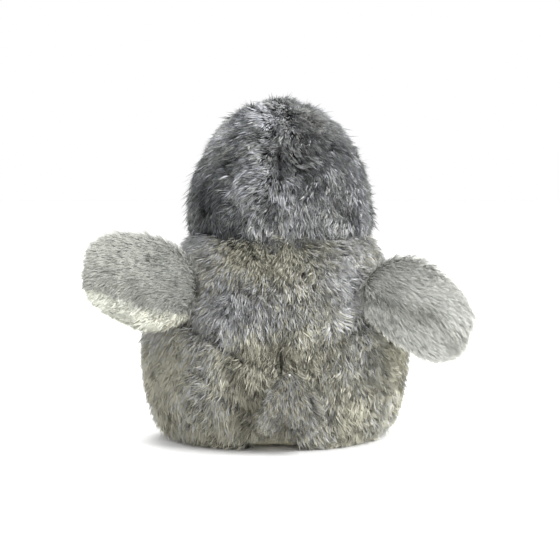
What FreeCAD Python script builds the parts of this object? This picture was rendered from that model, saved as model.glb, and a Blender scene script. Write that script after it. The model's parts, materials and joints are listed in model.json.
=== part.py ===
import FreeCAD, Part
import os
import re

import Sketcher
from FreeCAD import Placement, Rotation, Vector

# A sitting plush penguin chick, sewn from long pile and stuffed.
# Units are millimetres. The penguin stands on Z = 0, faces -Y, and its own left is +X.
# Each sewn panel is a solid as thick as its backing and pile together, so its outer face
# is where the tips of the pile lie, and its inner face is the back of the cloth.

doc = FreeCAD.newDocument("PlushPenguin")

# The driving dimensions: alias, value, meaning.
DIMENSIONS = [
    ("torso_half_width", 62.0, "torso, half of its width over the pile"),
    ("torso_half_depth", 54.0, "torso, half of its depth over the pile"),
    ("torso_half_rise", 76.0, "half height of the egg that the torso is cut from"),
    ("torso_centre_height", 42.0, "height of the widest part of the torso"),
    ("head_half_width", 43.5, "head, half of its width over the pile"),
    ("head_half_depth", 42.0, "head, half of its depth over the pile"),
    ("head_half_rise", 56.0, "half height of the egg that the head is cut from"),
    ("head_centre_height", 108.0, "height of the widest part of the head"),
    ("head_forward", 4.0, "the head's centre lies this far in front of the torso's"),
    ("neck_height", 98.0, "height of the neck seam"),
    ("neck_gap", 0.5, "play between head and torso, so that the head can turn"),
    ("seam_gap", 0.3, "play at a seam and round the stuffing"),
    ("pile_depth", 7.0, "backing and pile of the head and torso panels"),
    ("base_depth", 5.0, "backing and short pile of the panel it sits on"),
    ("base_half_width", 46.0, "half width of the oval panel it sits on"),
    ("base_half_depth", 39.5, "half depth of the oval panel it sits on"),
    ("cape_point_height", 40.0, "height where the two cape seams meet on the back"),
    ("cape_slope", 29.0, "rise of each cape seam towards the flipper, in degrees"),
    ("bib_half_width", 38.0, "half width of the pale belly panel"),
    ("bib_half_rise", 62.0, "half height of the pale belly panel's oval"),
    ("bib_centre_height", 48.0, "centre height of the pale belly panel's oval"),
    ("pouch_half_width", 30.0, "half width of the pouch of pellets"),
    ("pouch_half_depth", 26.0, "half depth of the pouch of pellets"),
    ("pouch_half_rise", 9.0, "half height of the pouch of pellets"),
    ("pouch_wall", 1.0, "cloth of the pouch"),
    ("crown_half_width", 9.0, "half width of the strip over the crown"),
    ("crown_end", 6.0, "the strip over the crown ends this far behind the torso's centre"),
    ("cheek_half_width", 20.0, "half width of a cheek panel's oval"),
    ("cheek_half_rise", 21.0, "half height of a cheek panel's oval"),
    ("cheek_aside", 15.0, "a cheek panel's centre lies this far to the side"),
    ("cheek_height", 119.0, "height of a cheek panel's centre"),
    ("beak_height", 115.0, "height of the line between the beak's halves"),
    ("beak_root", 40.0, "the beak's root lies this far in front of the torso's centre"),
    ("beak_reach", 20.0, "length of the beak"),
    ("beak_half_width", 6.0, "half width of the beak at its root"),
    ("beak_tip_radius", 1.6, "radius of the beak's blunt tip"),
    ("beak_wall", 1.2, "felt of the beak"),
    ("eye_radius", 4.5, "radius of the eye's dome"),
    ("eye_aside", 17.5, "an eye lies this far to the side"),
    ("eye_height", 126.0, "height of an eye"),
    ("eye_sink", 2.6, "the eye's flat back lies this far under the tips of the pile"),
    ("shank_radius", 1.5, "radius of the eye's shank"),
    ("shank_reach", 9.0, "length of the eye's shank"),
    ("washer_radius", 5.0, "radius of the washer behind an eye"),
    ("washer_depth", 1.2, "thickness of the washer behind an eye"),
    ("flipper_half_reach", 28.0, "flipper, half of its length"),
    ("flipper_half_width", 23.0, "flipper, half of its width"),
    ("flipper_half_depth", 10.0, "flipper, half of its thickness over the pile"),
    ("flipper_root", 23.0, "from a flipper's hinge line to its middle"),
    ("flipper_wall", 5.5, "backing and pile of a flipper"),
    ("flipper_tilt", 25.0, "a flipper's outer face looks up by this angle"),
    ("flipper_sweep", 10.0, "a flipper points backwards by this angle"),
    ("left_flipper_droop", -8.0, "the left flipper hangs by this angle, so it is raised"),
    ("right_flipper_droop", 22.0, "the right flipper hangs by this angle"),
    ("shoulder_aside", 46.8, "a flipper's hinge lies this far to the side"),
    ("shoulder_back", 39.4, "a flipper's hinge lies this far behind the torso's centre"),
    ("shoulder_height", 74.0, "height of a flipper's hinge"),
    ("tail_half_reach", 17.5, "tail, half of its length"),
    ("tail_half_width", 22.0, "tail, half of its width"),
    ("tail_half_depth", 6.0, "tail, half of its thickness over the pile"),
    ("tail_root", 15.0, "from the tail's hinge line to its middle"),
    ("tail_wall", 3.4, "backing and pile of the tail"),
    ("tail_aside", -4.0, "the tail hangs this far to the side"),
    ("tail_back", 59.3, "the tail's hinge lies this far behind the torso's centre"),
    ("tail_height", 35.0, "height of the tail's hinge"),
    ("foot_half_reach", 14.0, "foot, half of its length"),
    ("foot_half_width", 12.0, "foot, half of its width"),
    ("foot_half_depth", 4.4, "foot, half of its thickness"),
    ("foot_root", 11.5, "from a foot's hinge line to its middle"),
    ("foot_wall", 1.6, "felt of a foot"),
    ("foot_aside", 19.0, "a foot lies this far to the side"),
    ("foot_front", 49.5, "a foot's hinge lies this far in front of the torso's centre"),
    ("foot_height", 4.9, "height of a foot's hinge"),
    ("foot_splay", 12.0, "a foot turns outwards by this angle"),
]

sheet = doc.addObject("Spreadsheet::Sheet", "Dimensions")
for row, (alias, value, meaning) in enumerate(DIMENSIONS, start=1):
    sheet.set(f"A{row}", meaning)
    sheet.set(f"B{row}", str(value))
    sheet.setAlias(f"B{row}", alias)
doc.recompute()

ALIASES = {alias for alias, _value, _meaning in DIMENSIONS}
FAR = "240"  # half side of the boxes that only cut, larger than the penguin
subparts = []


def size(alias):
    """Value of a driving dimension."""
    return float(sheet.get(alias))


def cell(word):
    """Write an alias as the sheet's cell, and leave any other word as it is."""
    return "Dimensions." + word[0] if word[0] in ALIASES else word[0]


def bind(thing, **expressions):
    """Bind properties to the sheet. A double underscore in a name stands for a dot."""
    for name, text in expressions.items():
        thing.setExpression(name.replace("__", "."), re.sub(r"[a-z]\w+", cell, text))


def keep(thing, label):
    """Mark an object as a finished sub-part, with a label of its own."""
    thing.Label = label
    subparts.append(thing)
    return thing


# ---------------------------------------------------------------- shapes used over and over

def egg(name, across, deep, tall, centre=("0", "0", "0"), grow="0"):
    """Ellipsoid of three half sizes about a centre, grown all round."""
    thing = doc.addObject("Part::Ellipsoid", name)
    thing.Angle1, thing.Angle2, thing.Angle3 = -90, 90, 360
    bind(thing, Radius2=f"{across} + {grow}", Radius3=f"{deep} + {grow}", Radius1=f"{tall} + {grow}")
    aside, back, height = centre
    bind(thing, Placement__Base__x=aside, Placement__Base__y=back, Placement__Base__z=height)
    return thing


def block(name, low, high):
    """Box between two corners, each of three expressions."""
    thing = doc.addObject("Part::Box", name)
    length, width, rise = [f"({b}) - ({a})" for a, b in zip(low, high)]
    bind(thing, Length=length, Width=width, Height=rise)
    bind(thing, Placement__Base__x=low[0], Placement__Base__y=low[1], Placement__Base__z=low[2])
    return thing


def slab(name, low="-" + FAR, high=FAR):
    """Everything between two heights."""
    return block(name, ("-" + FAR, "-" + FAR, low), (FAR, FAR, high))


def cut(name, base, *tools):
    """Cut each tool in turn from a base."""
    for number, tool in enumerate(tools, start=1):
        thing = doc.addObject("Part::Cut", f"{name}_cut_{number}")
        thing.Base, thing.Tool = base, tool
        base = thing
    return base


def common(name, base, *tools):
    """Keep what lies in the base and in every tool."""
    for number, tool in enumerate(tools, start=1):
        thing = doc.addObject("Part::Common", f"{name}_in_{number}")
        thing.Base, thing.Tool = base, tool
        base = thing
    return base


def mirrored(name, source):
    """The same piece on the penguin's other side."""
    thing = doc.addObject("Part::Mirroring", name)
    thing.Source = source
    thing.Base, thing.Normal = Vector(0, 0, 0), Vector(1, 0, 0)
    return thing


def keep_pair(name, source):
    """Keep a left piece and its mirror image on the right."""
    keep(source, name + "_left")
    keep(mirrored(name + "_mirror", source), name + "_right")


left_half = block("left_half", ("seam_gap / 2", "-" + FAR, "-" + FAR), (FAR, FAR, FAR))


# ---------------------------------------------------------------- torso

def torso_egg(name, shrink):
    """The egg that the torso is cut from, made smaller all round."""
    return egg(name, "torso_half_width", "torso_half_depth", "torso_half_rise",
               ("0", "0", "torso_centre_height"), grow=shrink)


def above_cape_seam(name, lift):
    """Space above the left cape seam, which rises from the middle of the back to the flipper."""
    thing = block(name, ("-" + FAR, "-" + FAR, "0"), (FAR, FAR, FAR))
    bind(thing, Placement__Rotation__Angle="cape_slope")
    thing.Placement.Rotation = Rotation(Vector(0, -1, 0), size("cape_slope"))
    bind(thing, Placement__Base__x=f"-{FAR} * cos(cape_slope * 1deg)")
    bind(thing, Placement__Base__z=f"cape_point_height + {lift} - {FAR} * sin(cape_slope * 1deg)")
    return thing


def bib(name, grow):
    """Egg that marks out the belly panel on the front of the torso."""
    return egg(name, "bib_half_width", "torso_half_depth", "bib_half_rise",
               ("0", "-torso_half_depth", "bib_centre_height"), grow)


def oval_base(name, grow):
    """Low egg that marks out the panel that the penguin sits on."""
    return egg(name, "base_half_width", "base_half_depth", "base_depth", grow=grow)


def build_torso():
    """Cape, sides, belly, base, stuffing and the pouch of pellets."""
    upright = slab("torso_span", "0", "neck_height - neck_gap / 2")
    solid = common("torso_solid", torso_egg("torso_outside", "0"), upright)
    skin = cut("torso_skin", solid, torso_egg("torso_inside", "-pile_depth"),
               oval_base("base_room", "seam_gap"))
    keep(common("base_panel", solid, oval_base("base_shape", "0")), "base_panel")
    keep(common("belly", skin, bib("bib", "0")), "belly")
    jacket = common("jacket", cut("jacket_skin", skin, bib("bib_room", "seam_gap")), left_half)
    keep_pair("back", common("cape", jacket, above_cape_seam("cape_space", "seam_gap")))
    keep_pair("side", cut("flank", jacket, above_cape_seam("cape_room", "0")))

    pouch_sizes = ("pouch_half_width", "pouch_half_depth", "pouch_half_rise")
    pouch_centre = ("0", "0", "base_depth + pouch_half_rise + 2 * seam_gap")
    pouch = egg("pouch_outside", *pouch_sizes, pouch_centre)
    keep(cut("pouch", pouch, egg("pouch_inside", *pouch_sizes, pouch_centre, "-pouch_wall")), "pellet_pouch")
    keep(egg("pellet_fill", *pouch_sizes, pouch_centre, "-pouch_wall - seam_gap"), "pellets")
    fill = common("torso_fill", torso_egg("torso_fill_egg", "-pile_depth - seam_gap"), upright)
    pouch_room = egg("pouch_room", *pouch_sizes, pouch_centre, "seam_gap")
    base_room = oval_base("base_room_fill", "seam_gap")
    keep(cut("torso_stuffing_shape", fill, pouch_room, base_room), "torso_stuffing")


# ---------------------------------------------------------------- head

def head_egg(name, shrink):
    """The egg that the head is cut from, made smaller all round."""
    return egg(name, "head_half_width", "head_half_depth", "head_half_rise",
               ("0", "-head_forward", "head_centre_height"), grow=shrink)


def cheek_egg(name, grow):
    """Egg that marks out the left cheek panel on the front of the head."""
    return egg(name, "cheek_half_width", "head_half_depth - head_forward", "cheek_half_rise",
               ("cheek_aside", "-head_half_depth - head_forward", "cheek_height"), grow)


def crown_strip(name, grow):
    """The strip from the beak over the crown."""
    half_width = f"crown_half_width + {grow}"
    high = (half_width, f"crown_end + {grow}", FAR)
    return block(name, (f"-({half_width})", "-" + FAR, "beak_height"), high)


def cone(name, back, reach, root_radius, tip_radius):
    """Cone that points forwards along the beak's line."""
    thing = doc.addObject("Part::Cone", name)
    bind(thing, Radius1=root_radius, Radius2=tip_radius, Height=reach)
    thing.Placement.Rotation = Rotation(Vector(1, 0, 0), 90)
    bind(thing, Placement__Base__y=back, Placement__Base__z="beak_height")
    return thing


def build_beak():
    """Upper and lower beak of black felt, with a little stuffing inside."""
    outside = cone("beak_outside", "-beak_root", "beak_reach", "beak_half_width", "beak_tip_radius")
    hollow_tip = "beak_tip_radius * 0.5"
    inside = cone("beak_inside", "-beak_root", "beak_reach - 3 * beak_wall",
                  "beak_half_width - beak_wall", hollow_tip)
    shell = cut("beak_shell", outside, inside)
    keep(common("beak_top", shell, slab("beak_above", "beak_height + seam_gap / 2")), "beak_upper")
    keep(common("beak_bottom", shell, slab("beak_below", high="beak_height - seam_gap / 2")), "beak_lower")
    fill = cone("beak_fill", "-beak_root - seam_gap", "beak_reach - 4 * beak_wall",
                "beak_half_width - beak_wall - seam_gap", "beak_tip_radius * 0.5 - seam_gap")
    keep(fill, "beak_stuffing")
    return cone("beak_room", "-beak_root + seam_gap", "beak_reach",
                "beak_half_width + seam_gap", "beak_tip_radius")


def eye_spot():
    """Where the left eye's flat back lies, and the way that the eye looks."""
    x = size("eye_aside")
    z = size("eye_height") - size("head_centre_height")
    half = Vector(size("head_half_width"), size("head_half_depth"), size("head_half_rise"))
    y = -half.y * (1 - (x / half.x) ** 2 - (z / half.z) ** 2) ** 0.5
    outwards = Vector(x / half.x ** 2, y / half.y ** 2, z / half.z ** 2).normalize()
    surface = Vector(x, y - size("head_forward"), z + size("head_centre_height"))
    return surface - outwards * size("eye_sink"), outwards


def post(name, radius, low, high):
    """Round post along an eye's line, which runs along +Z until it is placed."""
    thing = doc.addObject("Part::Cylinder", name)
    bind(thing, Radius=radius, Height=f"({high}) - ({low})", Placement__Base__z=low)
    return thing


def placed(thing, place):
    """Turn and move a finished shape to its place."""
    thing.Placement = place
    return thing


def washer():
    """Ring that locks the eye's shank behind the cloth."""
    body = doc.addObject("PartDesign::Body", "washer_body")
    sketch = body.newObject("Sketcher::SketchObject", "washer_rings")
    sketch.AttachmentSupport = (next(p for p in body.Origin.OriginFeatures if p.Role == "XY_Plane"), [""])
    sketch.MapMode = "FlatFace"
    for number, radius in enumerate(("washer_radius", "shank_radius + seam_gap / 2")):
        drawn_radius = size("washer_radius") / (1 + number)
        sketch.addGeometry(Part.Circle(Vector(0, 0, 0), Vector(0, 0, 1), drawn_radius), False)
        sketch.addConstraint(Sketcher.Constraint("Coincident", number, 3, -1, 1))
        sketch.addConstraint(Sketcher.Constraint("Radius", number, drawn_radius))
        bind(sketch, **{f"Constraints[{2 * number + 1}]": radius})
    pad = body.newObject("PartDesign::Pad", "washer_pad")
    pad.Profile = sketch
    bind(pad, Length="washer_depth")
    return body


def build_eyes(place):
    """Left eye, its washer, and the room that they need in the panels and the stuffing."""
    dome = doc.addObject("Part::Ellipsoid", "eye_dome")
    dome.Angle1, dome.Angle2, dome.Angle3 = 0, 90, 360
    bind(dome, Radius1="eye_radius * 0.8", Radius2="eye_radius", Radius3="eye_radius")
    eye = doc.addObject("Part::Fuse", "eye")
    eye.Base, eye.Tool = dome, post("shank", "shank_radius", "-shank_reach", "0.5")
    keep_pair("eye", placed(eye, place))

    behind_cloth = "-(pile_depth - eye_sink + 2 * seam_gap + washer_depth)"
    ring = washer()
    bind(ring, Placement__Base__z=behind_cloth)
    holder = doc.addObject("Part::Compound", "washer_holder")
    holder.Links = [ring]
    keep_pair("eye_washer", placed(holder, place))

    dome_room = post("dome_room", "eye_radius + seam_gap", "-seam_gap", "2 * eye_sink")
    shank_room = post("shank_room", "shank_radius + seam_gap", "-shank_reach - seam_gap", "1")
    before_washer = f"{behind_cloth} + washer_depth + 4 * seam_gap"
    washer_room = post("washer_room", "washer_radius + seam_gap", "-shank_reach", before_washer)
    return [placed_room(room, place) for room in (dome_room, shank_room, washer_room)]


def placed_room(room, place):
    """Put a post that stands on an eye's line at the eye's place."""
    holder = doc.addObject("Part::Compound", room.Name + "_placed")
    holder.Links = [room]
    return placed(holder, place)


def build_head():
    """Two dark side panels, crown strip, two pale cheeks, beak, eyes and stuffing."""
    upright = slab("head_span", "neck_height + neck_gap / 2")
    skin = cut("head_skin", common("head_solid", head_egg("head_outside", "0"), upright),
               head_egg("head_inside", "-pile_depth"))
    beak_room = build_beak()
    spot, outwards = eye_spot()
    eye_rooms = build_eyes(Placement(spot, Rotation(Vector(0, 0, 1), outwards)))
    cheek = common("cheek_panel", skin, cheek_egg("cheek_shape", "0"), left_half)
    cheek = cut("cheek", cheek, crown_strip("crown_room_cheek", "seam_gap"), beak_room, *eye_rooms)
    keep_pair("cheek", cheek)
    crown = common("crown_panel", skin, crown_strip("crown_shape", "0"))
    keep(cut("crown", crown, beak_room), "crown_gusset")
    dark = cut("head_side", common("head_left", skin, left_half), crown_strip("crown_room", "seam_gap"),
               cheek_egg("cheek_room", "seam_gap"), beak_room)
    keep_pair("head", dark)
    fill = common("head_fill", head_egg("head_fill_egg", "-pile_depth - seam_gap"), upright)
    left_rooms = [eye_rooms[1], eye_rooms[2]]
    right_rooms = [mirrored(room.Name + "_mirror", room) for room in left_rooms]
    keep(cut("head_stuffing_shape", fill, *left_rooms, *right_rooms, beak_room), "head_stuffing")


# ---------------------------------------------------------------- flippers, tail and feet

def turned(outwards, facing):
    """Rotation that lays a pad's length along one direction, with its face up along another."""
    return Rotation(outwards, facing.cross(outwards), facing, "XZY")


def build_pad(name, reach, width, depth, root, wall, labels, place):
    """A stuffed pad of two panels, seamed round its edge. Its hinge line is its own Y axis."""
    centre = (root, "0", "0")
    skin = cut(name + "_skin", egg(name + "_outside", reach, width, depth, centre),
               egg(name + "_inside", reach, width, depth, centre, "-" + wall))
    over = slab(name + "_over", low="seam_gap / 2")
    under = slab(name + "_under", high="-seam_gap / 2")
    fill = egg(name + "_fill", reach, width, depth, centre, f"-{wall} - seam_gap")
    filling = doc.addObject("Part::Compound", name + "_filling")
    filling.Links = [fill]
    pieces = [common(name + "_face", skin, over), common(name + "_back", skin, under), filling]
    for piece, label in zip(pieces, labels):
        keep(placed(piece, place), label)


def flipper_place(side, droop):
    """Place of a flipper: side is 1 for the left one and -1 for the right one."""
    sweep = size("flipper_sweep")
    flat = Rotation(Vector(0, 0, 1), side * sweep)
    outwards = Rotation(flat.multVec(Vector(0, 1, 0)), side * droop).multVec(flat.multVec(Vector(side, 0, 0)))
    facing = Rotation(outwards, side * size("flipper_tilt")).multVec(flat.multVec(Vector(0, 1, 0)))
    shoulder = Vector(side * size("shoulder_aside"), size("shoulder_back"), size("shoulder_height"))
    return Placement(shoulder, turned(outwards, facing))


def build_flippers():
    """Two flippers, grey outside and white inside."""
    sizes = ("flipper_half_reach", "flipper_half_width", "flipper_half_depth", "flipper_root", "flipper_wall")
    for word, side in (("left", 1), ("right", -1)):
        labels = [f"flipper_{word}_{part}" for part in ("outer", "inner", "stuffing")]
        build_pad("flipper_" + word, *sizes, labels, flipper_place(side, size(f"{word}_flipper_droop")))


def build_tail():
    """Short tail that hangs at the back from its upper edge."""
    sizes = ("tail_half_reach", "tail_half_width", "tail_half_depth", "tail_root", "tail_wall")
    hinge = Vector(size("tail_aside"), size("tail_back"), size("tail_height"))
    place = Placement(hinge, turned(Vector(0, 0, -1), Vector(0, 1, 0)))
    build_pad("tail", *sizes, ["tail_upper", "tail_lower", "tail_stuffing"], place)


def build_feet():
    """Two flat felt feet that point forwards from under the belly."""
    sizes = ("foot_half_reach", "foot_half_width", "foot_half_depth", "foot_root", "foot_wall")
    for word, side in (("left", 1), ("right", -1)):
        hinge = Vector(side * size("foot_aside"), -size("foot_front"), size("foot_height"))
        forwards = Rotation(Vector(0, 0, 1), side * size("foot_splay")).multVec(Vector(0, -1, 0))
        labels = [f"foot_{word}_{part}" for part in ("upper", "sole", "stuffing")]
        build_pad("foot_" + word, *sizes, labels, Placement(hinge, turned(forwards, Vector(0, 0, 1))))


# ---------------------------------------------------------------- build, check and write

def check():
    """Stop if any object failed, or if a sub-part isn't one or more valid solids."""
    for thing in doc.Objects:
        if {"Invalid", "Error"} & set(thing.State):
            raise RuntimeError(f"{thing.Name} failed: {thing.State}")
    for thing in subparts:
        shape = thing.Shape
        if shape.isNull() or not shape.isValid() or not shape.Solids:
            raise RuntimeError(f"{thing.Label} has no valid solid")


def write():
    """Write each sub-part to a file named for its label."""
    os.makedirs("parts", exist_ok=True)
    for thing in subparts:
        thing.Shape.exportStep(os.path.join("parts", thing.Label + ".step"))
        box = thing.Shape.BoundBox
        print(f"{thing.Label:24} solids {len(thing.Shape.Solids)}  volume {thing.Shape.Volume:9.0f}"
              f"  z {box.ZMin:7.2f} to {box.ZMax:7.2f}")


build_torso()
build_head()
build_flippers()
build_tail()
build_feet()
doc.recompute()
check()
write()
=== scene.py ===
"""Plush penguin chick: stuffed skins, frosted pile, felt beak and feet, and glossy eyes."""

import json
import logging
import math
from dataclasses import dataclass, replace
from enum import Enum

import bpy
import numpy as np
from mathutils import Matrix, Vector
from mathutils.kdtree import KDTree

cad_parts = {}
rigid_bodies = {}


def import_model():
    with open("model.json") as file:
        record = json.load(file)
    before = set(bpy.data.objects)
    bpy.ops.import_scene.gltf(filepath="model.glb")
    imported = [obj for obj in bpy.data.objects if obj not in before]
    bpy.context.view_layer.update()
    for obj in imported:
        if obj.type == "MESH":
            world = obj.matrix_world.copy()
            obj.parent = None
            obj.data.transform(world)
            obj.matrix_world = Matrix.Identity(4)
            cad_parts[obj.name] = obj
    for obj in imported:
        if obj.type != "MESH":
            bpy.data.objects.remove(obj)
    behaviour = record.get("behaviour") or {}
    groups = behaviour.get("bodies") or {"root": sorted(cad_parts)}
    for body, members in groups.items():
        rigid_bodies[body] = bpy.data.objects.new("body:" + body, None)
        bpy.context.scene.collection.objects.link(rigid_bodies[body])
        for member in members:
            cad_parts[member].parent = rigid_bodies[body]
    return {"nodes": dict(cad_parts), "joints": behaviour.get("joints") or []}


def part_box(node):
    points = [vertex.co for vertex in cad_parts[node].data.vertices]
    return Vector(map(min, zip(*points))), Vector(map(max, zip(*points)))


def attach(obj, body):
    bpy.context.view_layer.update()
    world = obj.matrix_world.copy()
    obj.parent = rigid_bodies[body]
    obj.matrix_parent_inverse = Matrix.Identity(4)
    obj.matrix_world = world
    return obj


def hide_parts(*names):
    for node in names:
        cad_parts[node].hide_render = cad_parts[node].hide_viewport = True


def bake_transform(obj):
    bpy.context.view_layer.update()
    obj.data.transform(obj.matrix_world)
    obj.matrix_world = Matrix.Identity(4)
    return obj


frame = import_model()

LOG = logging.getLogger("plush_penguin")
MM = 0.001
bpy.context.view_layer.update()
FLOOR_CLEARANCE = 0.15 * MM


# ---------------------------------------------------------------- colours and finishes


def linear(code: str) -> tuple[float, float, float, float]:
    """Turn an sRGB hex colour into a linear one.

    Args:
        code: the colour, as #rrggbb.

    Returns:
        Red, green, blue and an alpha of one.
    """
    shares = [int(code[start:start + 2], 16) / 255 for start in (1, 3, 5)]
    red, green, blue = [c / 12.92 if c <= 0.04045 else ((c + 0.055) / 1.055) ** 2.4 for c in shares]
    return (red, green, blue, 1.0)


def between(first: str, second: str, share: float) -> str:
    """Mix two sRGB hex colours.

    Args:
        first: the colour at share 0.
        second: the colour at share 1.
        share: how far to go from the first to the second.

    Returns:
        The mixed colour, as #rrggbb.
    """
    pairs = [(int(first[i:i + 2], 16), int(second[i:i + 2], 16)) for i in (1, 3, 5)]
    return "#" + "".join(f"{round(a + (b - a) * share):02x}" for a, b in pairs)


def add_node(tree: bpy.types.NodeTree, kind: str, inputs: dict | None = None, **settings) -> bpy.types.Node:
    """Add a node with its settings, its values and its links.

    Args:
        tree: the material's node tree.
        kind: the node's type.
        inputs: a value, or a socket to link from, for each input by name or number.
        **settings: the node's own properties.

    Returns:
        The new node.
    """
    node = tree.nodes.new(kind)
    for name, value in settings.items():
        setattr(node, name, value)
    for name, value in (inputs or {}).items():
        if isinstance(value, bpy.types.NodeSocket):
            tree.links.new(value, node.inputs[name])
        else:
            node.inputs[name].default_value = value
    return node


def new_material(name: str) -> tuple[bpy.types.Material, bpy.types.NodeTree, bpy.types.Node]:
    """Make a material with a Principled shader.

    Args:
        name: the material's name.

    Returns:
        The material, its node tree and its shader node.
    """
    material = bpy.data.materials.new(name)
    material.use_nodes = True
    tree = material.node_tree
    return material, tree, tree.nodes["Principled BSDF"]


@dataclass(frozen=True)
class FibreDye:
    """Acrylic plush fibre, dyed darker at the root than at the tip, as frosted pile is.

    Each fibre is shaded in steps along its length, with a plain colour for each step, so that
    the frosting is in the mesh itself. Acrylic is soft, with a faint sheen and no clear gloss.
    """

    name: str
    root: str
    middle: str
    tip: str
    steps: int = 9

    def shades(self) -> list[bpy.types.Material]:
        """The dye's materials from root to tip, made once."""
        return [self.shade(number) for number in range(self.steps)]

    def shade(self, number: int) -> bpy.types.Material:
        """One step of the dye.

        Args:
            number: the step, from 0 at the root.

        Returns:
            The step's material.
        """
        name = f"acrylic_pile_{self.name}_{number}"
        if name in bpy.data.materials:
            return bpy.data.materials[name]
        share = number / (self.steps - 1)
        half = 0.5
        if share < half:
            colour = between(self.root, self.middle, share / half)
        else:
            colour = between(self.middle, self.tip, (share - half) / half)
        material, _tree, shader = new_material(name)
        shader.inputs["Base Color"].default_value = linear(colour)
        shader.inputs["Roughness"].default_value = 0.75
        shader.inputs["IOR"].default_value = 1.49
        shader.inputs["Specular IOR Level"].default_value = 0.2
        shader.inputs["Sheen Weight"].default_value = 0.15
        shader.inputs["Sheen Roughness"].default_value = 0.5
        return material


class Dye(Enum):
    """The dye lots of the penguin's pile."""

    CHARCOAL = FibreDye("charcoal", "#1e2020", "#626462", "#babbb7")
    SLATE = FibreDye("slate", "#222529", "#696d72", "#c6c8ce")
    TAUPE = FibreDye("taupe", "#68665a", "#918e7e", "#c4c2b2")
    STEEL = FibreDye("steel", "#686a6a", "#929495", "#c8c9ca")
    PEWTER = FibreDye("pewter", "#888985", "#a2a39f", "#bcbdb9")
    SILVER = FibreDye("silver", "#a0a19a", "#bcbdb6", "#dcddd8")
    WHITE = FibreDye("white", "#d8d9cd", "#e9eae0", "#fafaf5")
    IVORY = FibreDye("ivory", "#c9c4a0", "#dfdab8", "#efead0")
    CREAM = FibreDye("cream", "#cccaba", "#e2e0d0", "#f2f0e4")


@dataclass(frozen=True)
class Finish:
    """A surface of one kind, whose material is made once."""

    name: str
    dark: str
    light: str

    KIND = "finish"

    def material(self) -> bpy.types.Material:
        """The finish's material."""
        name = f"{self.KIND}_{self.name}"
        if name in bpy.data.materials:
            return bpy.data.materials[name]
        material, tree, shader = new_material(name)
        self.surface(tree, shader, add_node(tree, "ShaderNodeTexCoord").outputs["Object"])
        return material

    def surface(self, tree: bpy.types.NodeTree, shader: bpy.types.Node, place: bpy.types.NodeSocket) -> None:
        """Fill in the shader.

        Args:
            tree: the material's node tree.
            shader: its Principled shader.
            place: the socket of places on the piece.
        """


def colour_and_relief(tree: bpy.types.NodeTree, shader: bpy.types.Node, share: bpy.types.NodeSocket,
                      stops: tuple[tuple[float, str], tuple[float, str]], height: bpy.types.NodeSocket,
                      strength: float, depth_mm: float) -> None:
    """Colour a surface between two stops, and raise its texture.

    Args:
        tree: the material's node tree.
        shader: its Principled shader.
        share: where the surface is between the stops.
        stops: each stop's position and colour.
        height: how high the texture stands.
        strength: how strongly it shows.
        depth_mm: how deep it is.
    """
    ramp = add_node(tree, "ShaderNodeValToRGB", {"Fac": share})
    for element, (position, colour) in zip(ramp.color_ramp.elements, stops):
        element.color = linear(colour)
        element.position = position
    relief = {"Height": height, "Strength": strength, "Distance": depth_mm * MM}
    bump = add_node(tree, "ShaderNodeBump", relief)
    tree.links.new(ramp.outputs["Color"], shader.inputs["Base Color"])
    tree.links.new(bump.outputs["Normal"], shader.inputs["Normal"])


def product(tree: bpy.types.NodeTree, first: bpy.types.NodeSocket,
            second: bpy.types.NodeSocket) -> bpy.types.NodeSocket:
    """The product of two values, as a socket."""
    return add_node(tree, "ShaderNodeMath", {0: first, 1: second}, operation="MULTIPLY").outputs[0]


@dataclass(frozen=True)
class KnitBacking(Finish):
    """Knitted polyester backing of a pile fabric: matt, with fine rows of loops."""

    loop_mm: float = 0.9

    KIND = "knitted_backing"

    def surface(self, tree: bpy.types.NodeTree, shader: bpy.types.Node, place: bpy.types.NodeSocket) -> None:
        """Loops, worn in soft patches."""
        repeat = 1 / (self.loop_mm * MM)
        loops = add_node(tree, "ShaderNodeTexVoronoi", {"Vector": place, "Scale": repeat, "Randomness": 0.35})
        wear = add_node(tree, "ShaderNodeTexNoise", {"Vector": place, "Scale": repeat / 9, "Detail": 4.0})
        share = product(tree, loops.outputs["Distance"], wear.outputs["Fac"])
        stops = ((0.0, self.light), (0.5, self.dark))
        colour_and_relief(tree, shader, share, stops, loops.outputs["Distance"], 0.5, 0.2)
        shader.inputs["Roughness"].default_value = 0.9
        shader.inputs["Sheen Weight"].default_value = 0.2


@dataclass(frozen=True)
class WoolFelt(Finish):
    """Pressed felt: matt, mottled where fibres of several shades cross, with a fine nap."""

    fibre_mm: float = 0.35

    KIND = "pressed_felt"

    def surface(self, tree: bpy.types.NodeTree, shader: bpy.types.Node, place: bpy.types.NodeSocket) -> None:
        """A nap of fibres, in soft clouds."""
        repeat = 1 / (self.fibre_mm * MM)
        fine = {"Vector": place, "Scale": repeat, "Detail": 5.0, "Distortion": 1.5}
        nap = add_node(tree, "ShaderNodeTexNoise", fine).outputs["Fac"]
        cloud = add_node(tree, "ShaderNodeTexNoise", {"Vector": place, "Scale": repeat / 14, "Detail": 3.0})
        share = product(tree, nap, cloud.outputs["Fac"])
        colour_and_relief(tree, shader, share, ((0.15, self.dark), (0.42, self.light)), nap, 0.6, 0.25)
        shader.inputs["Roughness"].default_value = 0.95
        shader.inputs["Sheen Weight"].default_value = 0.35


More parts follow.
